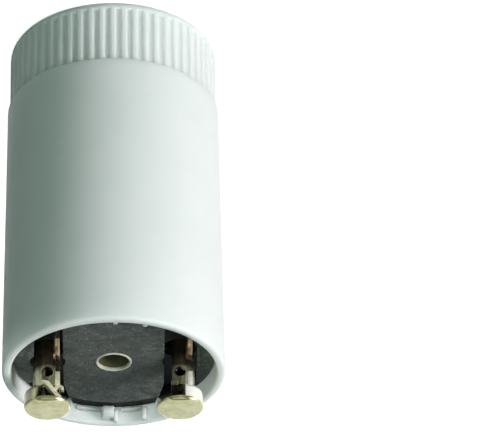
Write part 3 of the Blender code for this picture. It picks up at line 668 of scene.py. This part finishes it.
def add_mouth_feature(bm, section, offset, width, sides=(1, -1)):
    """A feature of the mouth's wall at an offset along X, on its far side (1) and near side (-1)."""
    middle = 90 - math.degrees(offset / MOUTH_RADIUS)
    half = math.degrees(width / MOUTH_RADIUS) / 2
    steps = max(2, round(2 * half))
    for side in sides:
        spin_section(bm, section, side * middle - half, side * middle + half, steps)


def add_snap_lug(bm, root, low):
    tip = MOUTH_RADIUS - LUG_REACH
    top = CAN_LENGTH - LUG_DROP
    section = [
        (root, low),
        (tip, low),
        (tip, low + LUG_HEIGHT),
        (MOUTH_RADIUS - RIM_ROUND, top),
        (root, top),
    ]
    add_mouth_feature(bm, section, LUG_OFFSET, LUG_WIDTH, sides=(1,))


def add_keys(bm, root, low):
    tip = MOUTH_RADIUS - KEY_REACH
    top = CAN_LENGTH - KEY_DROP
    section = [
        (root, low),
        (tip, low),
        (tip, top - RIM_ROUND),
        (tip + RIM_ROUND, top),
        (root, top),
    ]
    for offset in KEY_OFFSETS:
        add_mouth_feature(bm, section, offset, KEY_WIDTH)


def add_beads(bm, root):
    low = PLATE_FACE - BEAD_DROP
    tip = MOUTH_RADIUS - BEAD_REACH
    top = PLATE_FACE + BEAD_RISE
    section = [
        (root, low),
        (tip, low),
        (tip, PLATE_FACE),
        (MOUTH_RADIUS, top),
        (root, top),
    ]
    add_mouth_feature(bm, section, LEFT_BEAD_OFFSET, LEFT_BEAD_LENGTH)
    add_mouth_feature(bm, section, RIGHT_BEAD_OFFSET, RIGHT_BEAD_LENGTH)


def add_seats(bm, root):
    """The four brackets under the plate, each with a sloping foot."""
    top = PLATE_BACK - PLATE_GAP
    low = top - SEAT_LENGTH
    tip = MOUTH_RADIUS - SEAT_REACH
    section = [
        (root, low),
        (MOUTH_RADIUS - SEAT_FOOT, low),
        (tip, top - SEAT_REACH),
        (tip, top),
        (root, top),
    ]
    half = math.degrees(SEAT_WIDTH / 2 / MOUTH_RADIUS)
    for middle in SEAT_ANGLES:
        spin_section(bm, section, middle - half, middle + half, SEAT_STEPS)


def make_mouth_lugs(material):
    """The snap lug over the plate, the keys beside it, the low beads and the plate's seats."""
    root = MOUTH_RADIUS + ROOT
    low = PLATE_FACE + PLATE_GAP
    bm = bmesh.new()
    add_snap_lug(bm, root, low)
    add_keys(bm, root, low)
    add_beads(bm, root)
    add_seats(bm, root)
    bmesh.ops.recalc_face_normals(bm, faces=bm.faces)
    round_edges(bm, MOULDED_ROUND)
    lugs = finish_piece("mouth_lugs", bm, material)
    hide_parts("canister")


# Plate

def make_channel_ends(material):
    """The plate's flange where it closes both ends of both channels, black with the plate's painted
    shade so that no lit wall shows beyond the channels.
    """
    inner = PLATE_RADIUS - FLANGE_WIDTH
    outer = PLATE_RADIUS - FLANGE_INSET
    low = PLATE_FACE - CHANNEL_DEPTH - FLANGE_SINK
    high = PLATE_FACE - FLANGE_DROP
    section = [(inner, low), (outer, low), (outer, high), (inner, high)]
    first = math.degrees(math.asin(CHANNEL_START / outer)) - FLANGE_OVERLAP
    last = math.degrees(math.asin(WING_START / inner)) + FLANGE_OVERLAP
    bm = bmesh.new()
    for middle in (90, -90):
        for start, end in ((first, last), (-last, -first)):
            spin_section(bm, section, middle + start, middle + end, FLANGE_STEPS)
    bmesh.ops.recalc_face_normals(bm, faces=bm.faces)
    round_edges(bm, MOULDED_ROUND)
    ends = finish_piece("channel_ends", bm, material)
    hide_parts("base_plate")


def make_hole_lip(material):
    """The low lip that stands round the plate's centre hole."""
    half = LIP_WIDTH / 2
    middle = BORE_RADIUS + half
    low = PLATE_FACE - HOLE_CHAMFER
    section = [
        (middle - half, low),
        *arc(middle, PLATE_FACE, half, 180, 0, 8),
        (middle + half, low),
    ]
    bm = bmesh.new()
    spin_profile(bm, [*section, section[0]], LIP_STEPS)
    lip = finish_piece("hole_lip", bm, material, sharp=60)
    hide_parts("base_plate")


def eased_copy(node, name, width, material):
    """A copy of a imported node, with its doubles merged, its flats cleaned and its edges rounded."""
    bm = bmesh.new()
    bm.from_mesh(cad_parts[node].data)
    bmesh.ops.remove_doubles(bm, verts=bm.verts, dist=WELD)
    bmesh.ops.dissolve_limit(
        bm,
        angle_limit=math.radians(FLAT_ANGLE),
        verts=bm.verts,
        edges=bm.edges,
        use_dissolve_boundaries=False,
    )
    round_edges(bm, width)
    piece = finish_piece(name, bm, material)
    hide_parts(node)
    return piece


# Contacts

def within(value, limits):
    low, high = limits
    return low <= value < high


def on_front_strips(centre, side):
    """Whether a contact's face is on its tab or web, on the left curl or the right sheared wall."""
    across = centre.x - side * PIN_X
    ahead = -centre.y
    height = centre.z
    beside = across < STRIP_SIDE
    on_tab = beside and ahead > TAB_AHEAD and within(height, TAB_HEIGHTS)
    if side > 0:
        on_side = beside and within(ahead, CURL_AHEAD) and within(height, CURL_HEIGHTS)
        turn = math.radians(LEFT_WEB_TURN)
        from_web = math.cos(turn) * ahead + math.sin(turn) * across - WEB_AHEAD
        facing_web = within(across, LEFT_WEB_ACROSS)
    else:
        on_side = beside and ahead > WALL_AHEAD and within(height, WALL_HEIGHTS)
        from_web = ahead - WEB_AHEAD
        facing_web = within(across, RIGHT_WEB_ACROSS)
    on_web = facing_web and abs(from_web) < WEB_HALF and within(height, WEB_HEIGHTS)
    return on_tab or on_side or on_web


def make_contact(node, side, brass, strip_brass):
    """One eased contact, with its narrow front strips in their own finish."""
    contact = eased_copy(node, node + "_brass", SHEET_ROUND, brass)
    contact.data.materials.append(strip_brass)
    for face in contact.data.polygons:
        if on_front_strips(face.center, side):
            face.material_index = 1


# Inner parts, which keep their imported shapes

def set_material(node, material):
    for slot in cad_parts[node].material_slots:
        slot.material = material


def finish_inner_parts():
    wire = drawn_metal("lead_wire", (0.50, 0.48, 0.44), (0.74, 0.73, 0.70), 0.28)
    nickel = drawn_metal("electrode_nickel", (0.38, 0.37, 0.35), (0.55, 0.54, 0.52), 0.3)
    bimetal = drawn_metal("bimetal", (0.45, 0.42, 0.36), (0.62, 0.60, 0.55), 0.26)
    set_material("bulb_envelope", lamp_glass("bulb_glass", (0.93, 0.96, 0.95), 0.02))
    set_material("bulb_stem", lamp_glass("stem_glass", (0.88, 0.93, 0.91), 0.08))
    set_material("fixed_electrode", nickel)
    set_material("bimetal_strip", bimetal)
    set_material("capacitor_body", capacitor_lacquer())
    for node in ("bulb_lead_left", "bulb_lead_right", "capacitor_lead_left", "capacitor_lead_right"):
        set_material(node, wire)


# Stage

def direction(turn, height):
    """Unit vector towards a lamp: turn is measured from the camera's side towards -X."""
    around = math.radians(turn)
    up = math.radians(height)
    level = math.cos(up)
    return Vector((-math.sin(around) * level, -math.cos(around) * level, math.sin(up)))


def add_lamp(name, turn, height, size, power, colour):
    data = bpy.data.lights.new(name, "AREA")
    data.shape = "DISK"
    data.size = size
    data.energy = power * math.pi
    data.color = colour
    lamp = link(bpy.data.objects.new(name, data))
    middle = Vector((0, 0, CAN_LENGTH / 2))
    lamp.location = middle + direction(turn, height) * LAMP_DISTANCE
    lamp.rotation_euler = (middle - lamp.location).to_track_quat("-Z", "Y").to_euler()
    return lamp


def add_lamps():
    """The three lamps. Metal doesn't mirror the back one, which would show in the discs."""
    add_lamp("key", KEY_TURN, KEY_HEIGHT, KEY_SIZE, KEY_POWER, KEY_COLOUR)
    add_lamp("top", TOP_TURN, TOP_HEIGHT, TOP_SIZE, TOP_POWER, TOP_COLOUR)
    back = add_lamp("back", BACK_TURN, BACK_HEIGHT, BACK_SIZE, BACK_POWER, BACK_COLOUR)
    back.visible_glossy = False


def seen_directly(tree):
    """1 for rays that come from the camera, a mirror or a glass, and 0 for soft bounce light."""
    path = tree.nodes.new("ShaderNodeLightPath").outputs
    return any_of(tree, path["Is Camera Ray"], path["Is Glossy Ray"], path["Is Transmission Ray"])


def add_floor():
    """Plain paper, a hair below the crown's face so that the two don't meet in one plane."""
    material, tree, shader = plain_material("floor_paper")
    direct = seen_directly(tree)
    tree.links.new(mix(tree, direct, FLOOR_BOUNCE, FLOOR_SEEN), shader.inputs["Base Color"])
    tree.links.new(maths(tree, "MULTIPLY", direct, FLOOR_LIFT), shader.inputs["Emission Strength"])
    shader.inputs["Emission Color"].default_value = (*WHITE, 1.0)
    shader.inputs["Roughness"].default_value = 1.0
    shader.inputs["Specular IOR Level"].default_value = 0.0
    bm = bmesh.new()
    drop = Matrix.Translation((0, 0, -FLOOR_GAP))
    bmesh.ops.create_grid(bm, x_segments=1, y_segments=1, size=FLOOR_SIZE, matrix=drop)
    mesh = bpy.data.meshes.new("floor")
    bm.to_mesh(mesh)
    bm.free()
    mesh.materials.append(material)
    link(bpy.data.objects.new("floor", mesh))


def light_world():
    world = bpy.data.worlds.new("studio")
    bpy.context.scene.world = world
    world.use_nodes = True
    tree = world.node_tree
    background = tree.nodes["Background"]
    shade = [SHADE_LIGHT * part for part in SHADE_TINT]
    tree.links.new(mix(tree, seen_directly(tree), shade, WHITE), background.inputs["Color"])
    background.inputs["Strength"].default_value = 1.0


def add_camera():
    data = bpy.data.cameras.new("camera")
    data.lens = CAMERA_LENS
    camera = link(bpy.data.objects.new("camera", data))
    place = Vector(CAMERA_PLACE)
    towards_aim = Vector(CAMERA_AIM) - place
    look = towards_aim.to_track_quat("-Z", "Y").to_matrix().to_4x4()
    roll = Matrix.Rotation(math.radians(CAMERA_ROLL), 4, "Z")
    camera.matrix_world = Matrix.Translation(place) @ look @ roll
    bpy.context.scene.camera = camera


def main():
    canister = canister_plastic()
    make_canister(canister)
    make_mouth_lugs(canister)
    board = plate_plastic()
    eased_copy("base_plate", "plate_moulding", PLATE_ROUND, board)
    make_channel_ends(board)
    make_hole_lip(lip_resin())
    brass = contact_brass()
    yellow = sheared_brass("sheared_brass", (0.62, 0.58, 0.36), (0.90, 0.88, 0.68))
    # The right contact's strips are paler than the left's: that is a painted highlight where the key
    # light catches them.
    painted_highlight_strips = sheared_brass("sheared_brass_painted_highlight", (0.82, 0.80, 0.70), (0.95, 0.94, 0.88))
    make_contact("contact_left", 1, brass, yellow)
    make_contact("contact_right", -1, brass, painted_highlight_strips)
    finish_inner_parts()
    add_floor()
    light_world()
    add_lamps()
    add_camera()
    bpy.context.scene.view_settings.view_transform = "Standard"


main()
